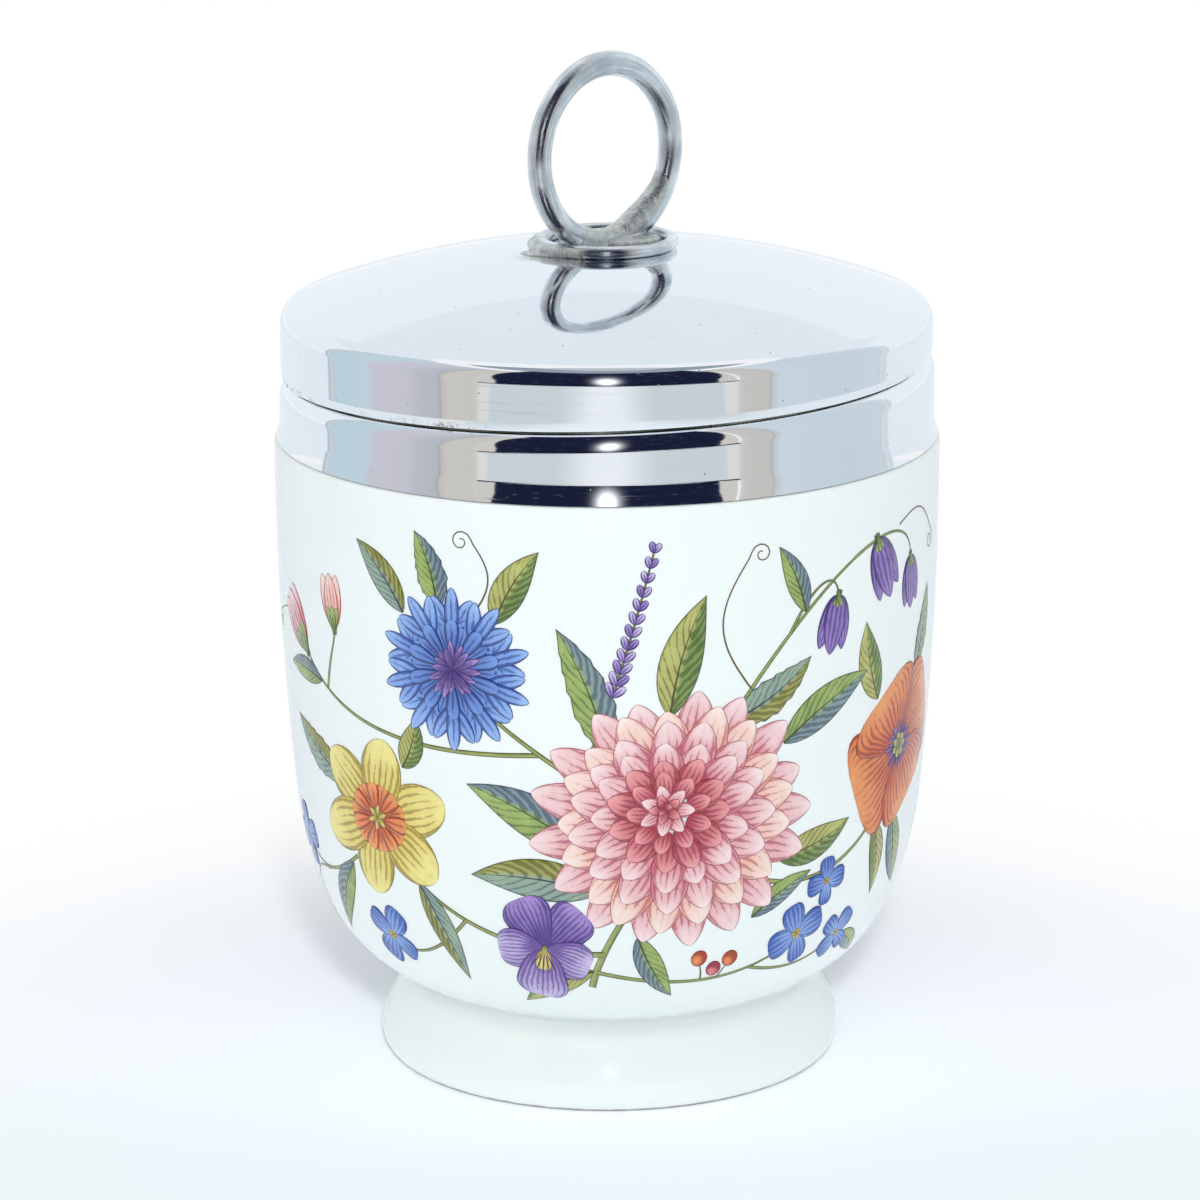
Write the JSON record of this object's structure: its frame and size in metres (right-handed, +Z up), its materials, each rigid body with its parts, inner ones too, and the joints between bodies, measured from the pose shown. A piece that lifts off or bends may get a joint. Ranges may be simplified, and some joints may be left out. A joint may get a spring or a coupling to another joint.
{
  "type": "porcelain egg coddler",
  "caption": "Porcelain egg coddler: a footed cup with a plated collar and a domed metal lid that screws on, lifted by an upright wire ring.",
  "frame": {"origin": "centre of the face that the foot ring stands on", "axes": "+Z up along the cup's axis; the lifting ring stands in the XZ plane; the printed front faces between -X and -Y"},
  "size_m": [0.0674, 0.0674, 0.1035],
  "materials": {
    "porcelain": "gloss",
    "chromed_brass": "polished",
    "chromed_wire": "polished",
    "solder": "rough",
    "cement": "matt"
  },
  "bodies": {
    "cup": {"cup": "porcelain", "collar": "chromed_brass", "collar_cement": "cement"},
    "base_ring": {"base_ring": "chromed_wire"},
    "lid": {"lid_shell": "chromed_brass", "lid_thread_ring": "chromed_brass", "lifting_ring": "chromed_wire", "ring_solder": "solder"}
  },
  "joints": [
    {"name": "lid_lift", "type": "slide", "parent": "cup", "child": "base_ring", "axis": [0, 0, 1], "range_m": [0, 0.0047]},
    {"name": "lid_turn", "type": "hinge", "parent": "base_ring", "child": "lid", "pos_m": [0, 0, 0.074], "axis": [0, 0, 1], "range_deg": [0, 325]}
  ],
  "couplings": [
    {"joint": "lid_lift", "follows": "lid_turn", "m_per_rad": 0.00082761}
  ]
}
